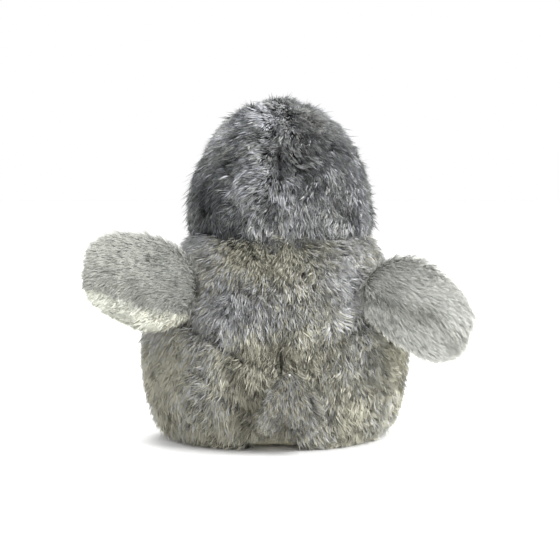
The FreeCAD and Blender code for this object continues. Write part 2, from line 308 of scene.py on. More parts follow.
@dataclass(frozen=True)
class MouldedPlastic(Finish):
    """Moulded plastic with faint flow marks: glossy on the eyes, matt on the inner parts."""

    roughness: float = 0.5
    mark_mm: float = 2.5

    KIND = "moulded_plastic"

    def surface(self, tree: bpy.types.NodeTree, shader: bpy.types.Node, place: bpy.types.NodeSocket) -> None:
        """Faint marks where the plastic flowed."""
        coarse = {"Vector": place, "Scale": 1 / (self.mark_mm * MM), "Detail": 3.0}
        marks = add_node(tree, "ShaderNodeTexNoise", coarse).outputs["Fac"]
        colour_and_relief(tree, shader, marks, ((0.0, self.dark), (1.0, self.light)), marks, 0.05, 0.05)
        shader.inputs["Roughness"].default_value = self.roughness
        shader.inputs["IOR"].default_value = 1.49


EYE_PLASTIC = MouldedPlastic("black_eye", "#050505", "#0b0b0c", 0.12)
WASHER_PLASTIC = MouldedPlastic("white_washer", "#c9c8c2", "#e2e1dc", 0.5)
PELLET_PLASTIC = MouldedPlastic("clear_pellet", "#b9bcbd", "#dcdfe0", 0.35)
POLYESTER_FILL = WoolFelt("polyester_fill", "#cfcdc6", "#f4f3ef", 1.2)
BLACK_FELT = WoolFelt("black", "#101011", "#2b2c2e")
CHARCOAL_FELT = WoolFelt("charcoal", "#1f2021", "#3f4143")


# ---------------------------------------------------------------- small tools


STUFFING_PRESSURE = 60.0
STUFFING_FRAMES = 20


class Noise:
    """Smooth, repeatable noise: a sum of waves in random directions."""

    WAVES = 28

    def __init__(self, size_mm: float, seed: int) -> None:
        """Choose the waves.

        Args:
            size_mm: typical width of a patch.
            seed: number that fixes the pattern.
        """
        random = np.random.default_rng(seed)
        ways = random.normal(size=(self.WAVES, 3))
        ways /= np.linalg.norm(ways, axis=1, keepdims=True)
        self.ways = ways * math.pi / (size_mm * MM * random.uniform(0.7, 1.5, (self.WAVES, 1)))
        self.phases = random.uniform(0, 2 * math.pi, self.WAVES)

    def __call__(self, points: np.ndarray) -> np.ndarray:
        """Noise at each point, about -1 to 1.

        Args:
            points: places, one in each row.

        Returns:
            One value for each point.
        """
        return np.sin(points @ self.ways.T + self.phases).sum(1) / math.sqrt(self.WAVES)


def unit(vectors: np.ndarray) -> np.ndarray:
    """Each row, made one long."""
    return vectors / np.maximum(np.linalg.norm(vectors, axis=1, keepdims=True), 1e-12)


def step(values: np.ndarray, low: float, high: float) -> np.ndarray:
    """Smooth rise from 0 at low to 1 at high."""
    share = np.clip((values - low) / (high - low), 0, 1)
    return share * share * (3 - 2 * share)


def hill(distances: np.ndarray, width: float) -> np.ndarray:
    """Bell curve that is 1 at distance 0 and fades over a width."""
    return np.exp(-((distances / width) ** 2))


def rows_of(items: bpy.types.bpy_prop_collection, what: str) -> np.ndarray:
    """Read a vector of each vertex or face, one in each row.

    Args:
        items: the vertices or the faces.
        what: the vector's name.

    Returns:
        The vectors.
    """
    flat = np.zeros(len(items) * 3)
    items.foreach_get(what, flat)
    return flat.reshape(-1, 3)


def vertices_of(piece: bpy.types.Object) -> np.ndarray:
    """The piece's vertex positions, one in each row."""
    return rows_of(piece.data.vertices, "co")


def normals_of(piece: bpy.types.Object) -> np.ndarray:
    """The piece's vertex normals, one in each row."""
    return rows_of(piece.data.vertices, "normal")


def face_centres(piece: bpy.types.Object) -> np.ndarray:
    """The middle of each face, one in each row."""
    return rows_of(piece.data.polygons, "center")


def add_object(name: str, data: bpy.types.ID) -> bpy.types.Object:
    """Put a new object in the scene.

    Args:
        name: the object's name.
        data: its mesh, light or camera.

    Returns:
        The new object.
    """
    piece = bpy.data.objects.new(name, data)
    bpy.context.scene.collection.objects.link(piece)
    return piece


def move_vertices(piece: bpy.types.Object, places: np.ndarray) -> None:
    """Give the piece's vertices new positions."""
    piece.data.vertices.foreach_set("co", places.ravel())
    piece.data.update()


def choose(*pieces: bpy.types.Object) -> None:
    """Select only these pieces, the first of them active."""
    if bpy.context.mode != "OBJECT":
        bpy.ops.object.mode_set(mode="OBJECT")
    for other in bpy.context.view_layer.objects:
        other.select_set(False)
    for piece in pieces:
        piece.select_set(True)
    bpy.context.view_layer.objects.active = pieces[0] if pieces else None


def add_ball(name: str, centre: Vector, half: Vector, segments: int, rings: int) -> bpy.types.Object:
    """Add a stretched ball in its place, with its object at the origin.

    Args:
        name: the piece's name.
        centre: the ball's middle.
        half: its three half sizes.
        segments: faces round it.
        rings: faces from pole to pole.

    Returns:
        The new piece.
    """
    choose()
    bpy.ops.mesh.primitive_uv_sphere_add(segments=segments, ring_count=rings, radius=1.0)
    ball = bpy.context.active_object
    ball.name = ball.data.name = name
    bpy.ops.object.mode_set(mode="EDIT")
    bpy.ops.transform.resize(value=half)
    bpy.ops.transform.translate(value=centre)
    bpy.ops.object.mode_set(mode="OBJECT")
    return ball


def slice_off(piece: bpy.types.Object, point: Vector, normal: Vector) -> None:
    """Cut away what lies on the normal's side of a plane, and close the cut."""
    choose(piece)
    bpy.ops.object.mode_set(mode="EDIT")
    bpy.ops.mesh.select_all(action="SELECT")
    bpy.ops.mesh.bisect(plane_co=point, plane_no=normal, use_fill=True, clear_outer=True)
    bpy.ops.object.mode_set(mode="OBJECT")


def apply_modifier(piece: bpy.types.Object, kind: str, **settings) -> None:
    """Add a modifier with its settings and apply it."""
    choose(piece)
    modifier = piece.modifiers.new(kind.lower(), kind)
    for name, value in settings.items():
        setattr(modifier, name, value)
    bpy.ops.object.modifier_apply(modifier=modifier.name)


def stuff(skin: bpy.types.Object, sewn: np.ndarray, most_mm: float) -> None:
    """Fill a closed skin, so that it crowns between its seams, which stay where they are.

    Args:
        skin: the closed skin, as a mesh of even faces.
        sewn: for each vertex, true where a seam holds it.
        most_mm: the furthest that a point may move.
    """
    rest = vertices_of(skin)
    seams = skin.vertex_groups.new(name="seams")
    seams.add([int(i) for i in np.flatnonzero(sewn)], 1.0, "REPLACE")
    modifier = skin.modifiers.new("stuffing", "CLOTH")
    cloth = modifier.settings
    cloth.quality = 4
    cloth.mass = 0.002
    cloth.tension_stiffness = 3.0
    cloth.compression_stiffness = 3.0
    cloth.shear_stiffness = 1.5
    cloth.bending_stiffness = 0.02
    cloth.vertex_group_mass = seams.name
    cloth.use_pressure = True
    cloth.uniform_pressure_force = STUFFING_PRESSURE
    cloth.effector_weights.gravity = 0.0
    modifier.collision_settings.use_collision = False
    scene = bpy.context.scene
    for number in range(1, STUFFING_FRAMES + 1):
        scene.frame_set(number)
    filled = skin.evaluated_get(bpy.context.evaluated_depsgraph_get())
    moves = vertices_of(filled) - rest
    lengths = np.linalg.norm(moves, axis=1, keepdims=True)
    moves *= np.minimum(1.0, most_mm * MM / np.maximum(lengths, 1e-9))
    LOG.info("%s: stuffing moved it by up to %.2f mm", skin.name, float(lengths.max()) / MM)
    skin.modifiers.remove(modifier)
    skin.vertex_groups.clear()
    scene.frame_set(1)
    move_vertices(skin, rest + moves)


def cut_out(skin: bpy.types.Object, wanted: np.ndarray, name: str) -> bpy.types.Object:
    """Cut some faces out of a skin, as a piece of its own.

    Args:
        skin: the skin that loses the faces.
        wanted: for each face, true if it is cut out.
        name: the new piece's name.

    Returns:
        The new piece.
    """
    choose(skin)
    bpy.ops.object.mode_set(mode="EDIT")
    bpy.ops.mesh.select_all(action="DESELECT")
    bpy.ops.object.mode_set(mode="OBJECT")
    skin.data.polygons.foreach_set("select", wanted)
    bpy.ops.object.mode_set(mode="EDIT")
    bpy.ops.mesh.select_mode(type="FACE")
    bpy.ops.mesh.separate(type="SELECTED")
    bpy.ops.object.mode_set(mode="OBJECT")
    piece = next(o for o in bpy.context.selected_objects if o != skin)
    piece.name = piece.data.name = name
    return piece


# ---------------------------------------------------------------- pile


@dataclass(frozen=True)
class PileCut:
    """How a pile fabric's fibres are made and lie, with sizes in millimetres and degrees."""

    length: float = 9.5
    width: float = 0.18
    per_square_mm: float = 9.0
    root_lean: float = 36.0
    tip_lean: float = 78.0
    lean_spread: float = 5.5
    swirl: float = 20.0
    wave: float = 22.0
    tuft: float = 1.4
    tuft_pull: float = 0.32
    tone_spread: float = 0.09
    tuft_tone: float = 0.045
    strays: float = 0.04
    tuft_swirl: float = 6.0
    fibre_swirl: float = 8.0
    tuft_length_spread: float = 0.04
    length_spread: float = 0.13
    width_spread: float = 0.2
    dyes: tuple[Dye, Dye] = (Dye.TAUPE, Dye.STEEL)


@dataclass
class Roots:
    """Where fibres leave a skin."""

    places: np.ndarray
    normals: np.ndarray

    def __len__(self) -> int:
        """The number of fibres."""
        return len(self.places)


def sow(skin: bpy.types.Object, per_square_mm: float, random: np.random.Generator) -> Roots:
    """Spread roots evenly over a skin.

    Args:
        skin: the panel that the pile grows from.
        per_square_mm: fibres on each square millimetre.
        random: the source of random numbers.

    Returns:
        The roots.
    """
    mesh = skin.data
    mesh.calc_loop_triangles()
    corners = np.zeros(len(mesh.loop_triangles) * 3, np.int32)
    mesh.loop_triangles.foreach_get("vertices", corners)
    corners = corners.reshape(-1, 3)
    places, normals = vertices_of(skin), normals_of(skin)
    first, second, third = places[corners[:, 0]], places[corners[:, 1]], places[corners[:, 2]]
    areas = np.linalg.norm(np.cross(second - first, third - first), axis=1) / 2
    count = int(areas.sum() / MM ** 2 * per_square_mm)
    chosen = random.choice(len(areas), count, p=areas / areas.sum())
    across, along = random.random(count), random.random(count)
    folded = across + along > 1
    across[folded], along[folded] = 1 - across[folded], 1 - along[folded]
    shares = np.stack([1 - across - along, across, along], axis=1)[:, :, None]
    return Roots((places[corners[chosen]] * shares).sum(1), unit((normals[corners[chosen]] * shares).sum(1)))


@dataclass(frozen=True)
class Spot:
    """A soft patch of the back, seen from behind, where the pile is lighter or darker, painted light and
    shade in some patches and the pile's own colour in others. In millimetres.
    """

    side: float
    height: float
    half_width: float
    half_height: float
    tone: float

    def over(self, places: np.ndarray) -> np.ndarray:
        """The patch's effect at each place."""
        across = (places[:, 0] / MM - self.side) / self.half_width
        up = (places[:, 2] / MM - self.height) / self.half_height
        return np.where(places[:, 1] > 0, self.tone * np.exp(-(across ** 2) - up ** 2), 0.0)


class Coat:
    """A pile coat over one sewn form: which way it lies, and how its colour changes."""

    def comb(self, places: np.ndarray) -> np.ndarray:
        """The way that the pile lies at each place; down, unless a form says otherwise."""
        return np.tile((0.0, 0.0, -1.0), (len(places), 1))

    def tone(self, places: np.ndarray) -> np.ndarray:
        """How much lighter, above 0, or darker, below 0, the pile is at each place."""
        return np.zeros(len(places))

    def second_dye(self, places: np.ndarray) -> np.ndarray:
        """The share of fibres of the second dye at each place."""
        return np.full(len(places), 0.4)

    def trim(self, places: np.ndarray) -> np.ndarray:
        """How long the pile is at each place, as a share of its full length."""
        return np.ones(len(places))

    def settle(self, places: np.ndarray) -> np.ndarray:
        """Where fibres that would pass through something come to lie."""
        return places


def lay(normals: np.ndarray, combed: np.ndarray, lean: np.ndarray) -> np.ndarray:
    """The way a fibre points when it leans from the normal by an angle, in degrees."""
    angle = np.radians(lean)[:, None]
    return np.cos(angle) * normals + np.sin(angle) * combed


def turn_about(vectors: np.ndarray, axes: np.ndarray, angles: np.ndarray) -> np.ndarray:
    """Turn vectors that are square to their axes about them, by angles in radians."""
    return np.cos(angles)[:, None] * vectors + np.sin(angles)[:, None] * np.cross(axes, vectors)


def nearest(places: np.ndarray, centres: np.ndarray) -> np.ndarray:
    """For each place, the number of the nearest centre."""
    tree = KDTree(len(centres))
    for number, centre in enumerate(centres):
        tree.insert(centre, number)
    tree.balance()
    return np.array([tree.find(place)[1] for place in places])


STRETCHES = 4  # a fibre's path is worked out at its root and at the end of each stretch
SIDES = (-0.7, 1.0, -1.0, 0.8, 0.0)  # which edge of the fibre each point is on, and how wide it is there
DEPTHS = (0.08, 0.45, 0.76)  # where each of its three faces lies on the way from root colour to tip colour
ROOT_TONE_SHARE = 0.35  # how much a root's shade follows the tone, which a tip follows fully
STRAY_GLOW_LIGHT = 0.1  # stray fibres are this much lighter (painted light: the glow through the fuzz at the outline),
STRAY_LENGTH = 1.12  # this much longer,
STRAY_LIFT = 9  # stand up by this many degrees more
STRAY_WIDTH = 0.75  # and are this much narrower
TUFT_DYE_SHARE = 0.2  # how far the fibres of a tuft share their dye
SUNK_MM = 0.3  # how deep a fibre's root is in the skin


def dye_fibres(places: np.ndarray, coat: Coat, cut: PileCut, stray: np.ndarray, tufts: np.ndarray,
               tuft_count: int, random: np.random.Generator) -> tuple[np.ndarray, list[bpy.types.Material]]:
    """Choose each fibre's dye, and the shade of each of its faces.

    Args:
        places: where the fibres leave the skin.
        coat: how the pile's colour changes.
        cut: the pile's dyes, and how much they vary.
        stray: true for each stray fibre, which is painted a little lighter, as painted light glowing through
            the fuzz.
        tufts: the number of each fibre's tuft.
        tuft_count: how many tufts there are.
        random: the source of random numbers.

    Returns:
        For each fibre the material of each of its faces, and the materials.
    """
    count = len(places)
    tone = coat.tone(places) + random.normal(0, cut.tuft_tone, tuft_count)[tufts]
    tone += random.normal(0, cut.tone_spread, count)
    # painted light: stray fibres made lighter for the glow through the fuzz at the outline
    tone[stray] += STRAY_GLOW_LIGHT
    leaning = random.random(count) * (1 - TUFT_DYE_SHARE) + random.random(tuft_count)[tufts] * TUFT_DYE_SHARE
    second = coat.second_dye(places) > leaning
    materials = [shade for dye in cut.dyes for shade in dye.value.shades()]
    steps = cut.dyes[0].value.steps
    shades = np.zeros((count, len(DEPTHS)), np.int32)
    for number, depth in enumerate(DEPTHS):
        level = np.clip(depth + tone * (ROOT_TONE_SHARE + (1 - ROOT_TONE_SHARE) * depth), 0, 1)
        shades[:, number] = np.round(level * (steps - 1)) + steps * second
    return shades, materials


def grow_pile(name: str, skin: bpy.types.Object, coat: Coat, cut: PileCut, seed: int) -> bpy.types.Object:
    """Grow a panel's pile: flat tapered fibres in tufts that are pulled together at their tips.

    Args:
        name: the new piece's name.
        skin: the panel that it grows from.
        coat: how the pile lies and how its colour changes.
        cut: sizes and dyes of the pile.
        seed: number that fixes what is random.

    Returns:
        The pile, as one mesh.
    """
    random = np.random.default_rng(seed)
    roots = sow(skin, cut.per_square_mm, random)
    count = len(roots)
    tuft_count = max(1, int(count / cut.per_square_mm / cut.tuft ** 2))
    seats = random.choice(count, tuft_count, replace=False)
    tufts = nearest(roots.places, roots.places[seats])

    normals = roots.normals
    combed = coat.comb(roots.places)
    combed = unit(combed - (combed * normals).sum(1, keepdims=True) * normals)
    swirl = Noise(16, seed + 1)(roots.places) * cut.swirl + Noise(5, seed + 2)(roots.places) * cut.swirl * 0.6
    swirl += random.normal(0, cut.tuft_swirl, tuft_count)[tufts] + random.normal(0, cut.fibre_swirl, count)
    combed = turn_about(combed, normals, np.radians(swirl))
    spread = random.normal(0, cut.lean_spread * 0.5, tuft_count)[tufts]
    spread += random.normal(0, cut.lean_spread, count)
    lengths = cut.length * MM * coat.trim(roots.places)
    tuft_lengths = cut.tuft_length_spread * random.normal(size=tuft_count)
    lengths *= 1 + tuft_lengths[tufts] + cut.length_spread * random.normal(size=count)
    stray = random.random(count) < cut.strays
    lengths[stray] *= STRAY_LENGTH
    spread[stray] -= STRAY_LIFT
    gathered = cut.tuft_pull * random.uniform(0.4, 1.4, tuft_count)[tufts] * random.uniform(0.5, 1.2, count)
    gathered[stray] = 0.0

    bend = Noise(6, seed + 3)(roots.places) * cut.wave + random.normal(0, cut.wave * 0.7, tuft_count)[tufts]
    bend += random.normal(0, cut.wave * 0.5, count)

    rows = [roots.places - normals * SUNK_MM * MM]
    for number in range(STRETCHES):
        along = (number + 0.5) / STRETCHES
        lean = cut.root_lean + (cut.tip_lean - cut.root_lean) * along + spread * (0.4 + along)
        way = turn_about(combed, normals, np.radians(bend * (along - 0.5) * 2))
        way = lay(normals, way, np.clip(lean, 0, 88))
        rows.append(rows[-1] + way * (lengths / STRETCHES)[:, None])
    for number in range(1, len(rows)):
        pull = (gathered * (number / STRETCHES) ** 1.3)[:, None]
        centre = rows[number][seats][tufts]
        rows[number] = rows[number] * (1 - pull) + centre * pull
    rows = [coat.settle(row) for row in rows]

    twist = random.normal(0, 0.28, count)
    chord = unit(rows[-1] - rows[0])
    sides = turn_about(unit(np.cross(chord, normals)), chord, twist)
    half = cut.width * MM / 2 * (1 + cut.width_spread * random.normal(size=count))[:, None]
    half[stray] *= STRAY_WIDTH
    points = np.stack([row + sides * half * share for row, share in zip(rows, SIDES)], axis=1)
    points[:, :, 2] = np.maximum(points[:, :, 2], FLOOR_CLEARANCE)

    shades, materials = dye_fibres(roots.places, coat, cut, stray, tufts, tuft_count, random)
    return fibres_to_mesh(name, points, shades, materials)


def fibres_to_mesh(name: str, points: np.ndarray, shades: np.ndarray,
                   materials: list[bpy.types.Material]) -> bpy.types.Object:
    """Make one mesh of many fibres, each a strip of three triangles that narrows to its tip.

    Args:
        name: the new piece's name.
        points: five corners for each fibre, from its root to its tip, on alternate edges.
        shades: for each fibre, the material of each of its three faces.
        materials: the piece's materials.

    Returns:
        The new piece.
    """
    count = len(points)
    corners = np.array([0, 1, 2, 2, 1, 3, 2, 3, 4])
    mesh = bpy.data.meshes.new(name)
    mesh.vertices.add(count * 5)
    mesh.vertices.foreach_set("co", points.ravel())
    mesh.loops.add(count * 9)
    mesh.loops.foreach_set("vertex_index", (corners[None] + 5 * np.arange(count)[:, None]).ravel())
    mesh.polygons.add(count * 3)
    mesh.polygons.foreach_set("loop_start", 3 * np.arange(count * 3))
    mesh.polygons.foreach_set("loop_total", np.full(count * 3, 3))
    for material in materials:
        mesh.materials.append(material)
    mesh.polygons.foreach_set("material_index", shades.ravel())
    mesh.polygons.foreach_set("use_smooth", np.ones(count * 3, bool))
    mesh.update(calc_edges=True)
    return add_object(name, mesh)


# ---------------------------------------------------------------- sewn forms


@dataclass(frozen=True)
class Panel:
    """One sewn panel: the CAD nodes that it stands for, its record slot, backing and pile."""

    node: str
    slot: str
    backing: Finish
    cut: PileCut | None = None
    thickness: float = 0.8


DARK_BACKING = KnitBacking("charcoal", "#141517", "#3a3c3e")
GREY_BACKING = KnitBacking("grey", "#3a3933", "#6b6960")
PALE_BACKING = KnitBacking("pale", "#c3c1b2", "#dddbcf")

HEAD_PILE = PileCut(width=0.16, tuft=1.7, tuft_tone=0.07, tone_spread=0.12, dyes=(Dye.CHARCOAL, Dye.SLATE))
BACK_PILE = PileCut(width=0.16, dyes=(Dye.TAUPE, Dye.STEEL))
TAIL_PILE = PileCut(length=6.5, root_lean=44, tip_lean=80, dyes=(Dye.TAUPE, Dye.STEEL))
FLIPPER_PILE = PileCut(length=7.0, root_lean=46, tuft_pull=0.05, tuft_tone=0.01, tone_spread=0.05,
                       lean_spread=3.5, swirl=6, wave=8, strays=0.0, dyes=(Dye.SILVER, Dye.PEWTER))
WHITE_PILE = PileCut(length=5.5, per_square_mm=7.5, width=0.24, root_lean=34, tip_lean=72, tuft=1.3,
                     tuft_tone=0.02, tuft_pull=0.12, swirl=10, wave=12, strays=0.0, tone_spread=0.06,
                     dyes=(Dye.WHITE, Dye.CREAM))
FACE_PILE = replace(WHITE_PILE, length=4.5, root_lean=24, tip_lean=66)
BASE_PILE = PileCut(length=3.0, per_square_mm=3.0, width=0.3, root_lean=50, tip_lean=82, tuft=1.2,
                    tuft_pull=0.3, dyes=(Dye.IVORY, Dye.CREAM), tone_spread=0.08)


@dataclass
class SewnForm(Coat):
    """A stuffed form of several panels on one body."""

    body: str
    seed: int

    def dress(self, skin: bpy.types.Object, panels: list[Panel], owner: np.ndarray) -> None:
        """Cut a finished skin into its panels, grow their pile and attach both to the form's body.

        Args:
            skin: the stuffed skin.
            panels: the panels.
            owner: for each face, the number of its panel, or -1 where the form is open.
        """
        for number in range(len(panels)):
            panel = panels[number]
            piece = cut_out(skin, owner == number, panel.node + "_skin")
            owner = owner[owner != number]
            parts = [piece]
            if panel.cut:
                seed = self.seed * 100 + number
                parts.append(grow_pile(panel.node + "_pile", piece, self, panel.cut, seed))
            apply_modifier(piece, "SOLIDIFY", thickness=panel.thickness * MM, offset=-1.0)
            piece.data.materials.clear()
            piece.data.materials.append(panel.backing.material())
            piece.data.shade_smooth()
            for part in parts:
                self.attach(part)
                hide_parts(panel.node)
                LOG.info("%s: %d faces", part.name, len(part.data.polygons))
        bpy.data.objects.remove(skin)

    def fill(self, skin: bpy.types.Object, node: str, inset_mm: float = 1.3) -> None:
        """Make the stuffing: a closed body just inside the skin.

        Args:
            skin: the stuffed skin, before it is cut into panels.
            node: the CAD node that the stuffing stands for.
            inset_mm: how far it stays inside the skin.
        """
        filling = skin.copy()
        filling.data = skin.data.copy()
        bpy.context.scene.collection.objects.link(filling)
        filling.name = filling.data.name = node + "_fibre"
        move_vertices(filling, vertices_of(filling) - normals_of(filling) * inset_mm * MM)
        filling.data.materials.clear()
        filling.data.materials.append(POLYESTER_FILL.material())
        filling.data.shade_smooth()
        self.attach(filling)
        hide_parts(node)

    def attach(self, piece: bpy.types.Object) -> None:
        """Make a piece move with the form's body."""
        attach(piece, self.body)


def main_box(*nodes: str) -> tuple[Vector, Vector]:
    """Lowest and highest corner of several CAD nodes together."""
    boxes = [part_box(node) for node in nodes]
    low = Vector([min(low[axis] for low, _high in boxes) for axis in range(3)])
    high = Vector([max(high[axis] for _low, high in boxes) for axis in range(3)])
    return low, high


BACK_SPOTS = (
    Spot(-33, 80, 18, 20, 1.0),  # painted light, paler behind the right shoulder
    Spot(-3, 70, 14, 20, 0.16),  # paler down the middle
    Spot(5, 41, 14, 7, 0.28),  # and above the tail
    Spot(22, 78, 16, 14, -0.12),  # painted shade behind the left shoulder
    Spot(27, 37, 8, 7, 0.22),  # blue-grey patch low on the left
    Spot(16, 40, 4, 4, -0.28),
    Spot(13, 25, 4, 6, -0.32),  # painted shade in the pockets beside the tail
    Spot(-2, 29, 5, 8, -0.34),
    Spot(-41, 19, 16, 16, 0.10),  # painted light low on the right, paler and smoother
    Spot(34, 62, 6, 5, -0.45),  # painted shade in the pit under the left flipper
    Spot(-43, 74, 3, 8, -0.35),  # painted shade in the pit behind the right flipper
)


@dataclass
class Torso(SewnForm):
    """Cape, sides, belly and base. Sizes in millimetres, as in the CAD model."""

    body: str = "torso"
    seed: int = 3
    centre_height: float = 42.0
    half_rise: float = 76.0
    pile_stand: float = 4.6
    cape_point_height: float = 40.0
    cape_slope: float = 29.0
    bib_half: tuple[float, float] = (38.0, 62.0)
    bib_centre_height: float = 48.0
    base_half: tuple[float, float] = (46.0, 39.5)

    def __post_init__(self) -> None:
        """Read the torso's size and place from the frame."""
        low, high = main_box("side_left", "side_right", "back_left", "back_right", "belly", "base_panel")
        self.half = Vector((high.x, high.y, self.half_rise * MM))
        self.neck = high.z
        self.tone_patches = Noise(14, 31)
        self.dye_patches = Noise(18, 32)

    def cape_line(self, places: np.ndarray) -> np.ndarray:
        """Height above the cape seam, which rises from the middle of the back to the flippers."""
        slope = math.tan(math.radians(self.cape_slope))
        return places[:, 2] - self.cape_point_height * MM - slope * np.abs(places[:, 0])

    def bib_line(self, places: np.ndarray) -> np.ndarray:
        """Rough distance outside the belly panel's oval, below 0 inside it."""
        across = places[:, 0] / (self.bib_half[0] * MM)
        up = (places[:, 2] - self.bib_centre_height * MM) / (self.bib_half[1] * MM)
        back = (places[:, 1] + self.half.y) / self.half.y
        return (np.sqrt(across ** 2 + up ** 2 + back ** 2) - 1) * self.bib_half[0] * MM

    def base_line(self, places: np.ndarray) -> np.ndarray:
        """Rough distance outside the base panel's oval, below 0 inside it."""
        across = places[:, 0] / (self.base_half[0] * MM)
        back = places[:, 1] / (self.base_half[1] * MM)
        return (np.sqrt(across ** 2 + back ** 2) - 1) * self.base_half[0] * MM

    def seam_distance(self, places: np.ndarray) -> np.ndarray:
        """Distance to the nearest seam."""
        behind = places[:, 1] > 0
        middle = np.where(behind, np.abs(places[:, 0]), 1.0)
        cape = np.abs(self.cape_line(places)) * math.cos(math.radians(self.cape_slope))
        cape = np.where(self.bib_line(places) > 0, cape, 1.0)
        rim = np.where(places[:, 2] < 4 * MM, np.abs(self.base_line(places)), 1.0)
        return np.minimum.reduce([middle, cape, np.abs(self.bib_line(places)), rim])

    def build(self) -> None:
        """Build the skin, stuff it and dress its panels."""
        stand = self.pile_stand * MM
        centre = Vector((0, 0, self.centre_height * MM))
        skin = add_ball("torso_skin", centre, self.half - Vector((stand,) * 3), 96, 64)
        slice_off(skin, Vector((0, 0, 0.8 * MM)), Vector((0, 0, -1)))
        slice_off(skin, Vector((0, 0, self.neck - 0.5 * MM)), Vector((0, 0, 1)))
        apply_modifier(skin, "REMESH", mode="VOXEL", voxel_size=2.6 * MM)
        self.shape(skin)
        places = vertices_of(skin)
        flat = (places[:, 2] < 1.6 * MM) | (places[:, 2] > self.neck - 2 * MM)
        stuff(skin, flat | (self.seam_distance(places) < 2.0 * MM), 2.0)
        self.fill(skin, "torso_stuffing")
        apply_modifier(skin, "SUBSURF", levels=1, render_levels=1)
        self.dress(skin, self.panels(), self.owners(face_centres(skin)))

    def shape(self, skin: bpy.types.Object) -> None:
        """Pull the seams in and round the rim of the base."""
        places = vertices_of(skin)
        centre = np.array((0, 0, self.centre_height * MM))
        outward = unit((places - centre) / np.array(self.half) ** 2)
        places -= outward * (2.0 * MM * hill(self.seam_distance(places), 3.2 * MM))[:, None]
        rounder = 1 - 0.12 * (1 - step(places[:, 2], 0.0, 12 * MM))
        places[:, 0] *= rounder
        places[:, 1] *= rounder
        slump = 1 - step(places[:, 2], 50 * MM, 92 * MM)
        places[:, 0] = places[:, 0] * (1 + 0.03 * slump) + 2.4 * MM * slump
        move_vertices(skin, places)

    def owners(self, places: np.ndarray) -> np.ndarray:
        """The number of the panel that each place belongs to, or -1 at the neck."""
        left = places[:, 0] > 0
        above = self.cape_line(places) > 0
        owner = np.where(above, np.where(left, 0, 1), np.where(left, 2, 3))
        owner = np.where(self.bib_line(places) < 0, 4, owner)
        under = (places[:, 2] < 1.4 * MM) & (self.base_line(places) < 0)
        owner = np.where(under | self.base_shows(places, 14.0, 8.0), 5, owner)
        return np.where(places[:, 2] > self.neck - 1.2 * MM, -1, owner)

    def base_shows(self, places: np.ndarray, width_mm: float, height_mm: float) -> np.ndarray:
        """True low on the back under the tail, where the base panel comes up into view."""
        across = (places[:, 0] / MM - 1.5) / width_mm
        up = places[:, 2] / MM / height_mm
        return (across ** 2 + up ** 2 < 1) & (places[:, 1] > 0)

    def trim(self, places: np.ndarray) -> np.ndarray:
        """Shorter above the patch of base that shows under the tail."""
        return np.where(self.base_shows(places, 16.0, 15.0), 0.5, 1.0)

    def panels(self) -> list[Panel]:
        """The torso's panels, in the order that owners numbers them."""
        grey = ("back_left", "back_right", "side_left", "side_right")
        pale = (("belly", WHITE_PILE), ("base_panel", BASE_PILE))
        panels = [Panel(node, "grey_pile", GREY_BACKING, BACK_PILE) for node in grey]
        return panels + [Panel(node, "cream_plush", PALE_BACKING, cut) for node, cut in pale]

    def comb(self, places: np.ndarray) -> np.ndarray:
        """Down and a little outwards, and inwards under the base."""
        outwards = 0.35 * np.clip(places[:, 0] / (20 * MM), -1, 1)
        under = 1 - step(places[:, 2], 1 * MM, 10 * MM)
        ways = np.stack([outwards, np.zeros(len(places)), -np.ones(len(places))], axis=1)
        inwards = -unit(places * (1, 1, 0))
        return ways * (1 - under)[:, None] + inwards * under[:, None]

    def tone(self, places: np.ndarray) -> np.ndarray:
        """Darker along the seams, with painted shade in the pockets under the flippers and painted light over
        the right side, in soft patches.
        """
        tone = 0.05 * self.tone_patches(places)
        tone -= 0.12 * hill(self.seam_distance(places), 3.0 * MM)
        # painted light: the right side, towards the key light, made paler
        tone += 0.12 * step(-places[:, 0], -10 * MM, 45 * MM) - 0.08
        return tone + sum(spot.over(places) for spot in BACK_SPOTS)

    def second_dye(self, places: np.ndarray) -> np.ndarray:
        """More of the blue-grey dye near the neck and the flippers."""
        high = step(places[:, 2], 45 * MM, 80 * MM) * step(np.abs(places[:, 0]), 8 * MM, 30 * MM)
        return 0.22 + 0.55 * high + 0.25 * self.dye_patches(places)

    def settle(self, places: np.ndarray) -> np.ndarray:
        """Keep fibres on the floor when they would pass through it."""
        places = places.copy()
        places[:, 2] = np.maximum(places[:, 2], FLOOR_CLEARANCE)
        return places


HEAD_SPOTS = (
    Spot(-2, 136, 3, 8, -0.55),  # painted shade in the pinched seam behind the crown
    Spot(-3.3, 122, 2.4, 9, 0.50),  # pale parting below it
    Spot(3, 113, 5, 4, -0.35),
    Spot(-15, 147, 7, 6, -0.10),
    Spot(-9, 154, 8, 5, 0.60),
    Spot(-20, 141, 6, 6, -0.15),
    Spot(-14, 128, 7, 5, -0.28),
    Spot(30, 120, 10, 11, -0.30),
    Spot(30, 103, 16, 5, -0.45),  # in the shade of the neck
    Spot(24, 149, 9, 7, 0.50),  # painted rim light above the left side
    Spot(9, 150, 7, 6, -0.15),
    Spot(9, 135, 10, 9, -0.12),
    Spot(-9, 136, 6, 6, -0.25),
    Spot(14, 121, 7, 6, 0.18),
    Spot(5, 112, 5, 5, 0.20),
    Spot(37, 107, 6, 6, 0.25),
    Spot(8, 106, 12, 5, 0.12),
    Spot(40, 130, 5, 15, 0.40),  # painted rim light along the left edge
    Spot(-10, 161, 9, 5, 0.30),
    Spot(-40, 114, 5, 20, 0.25),  # and along the right edge
)


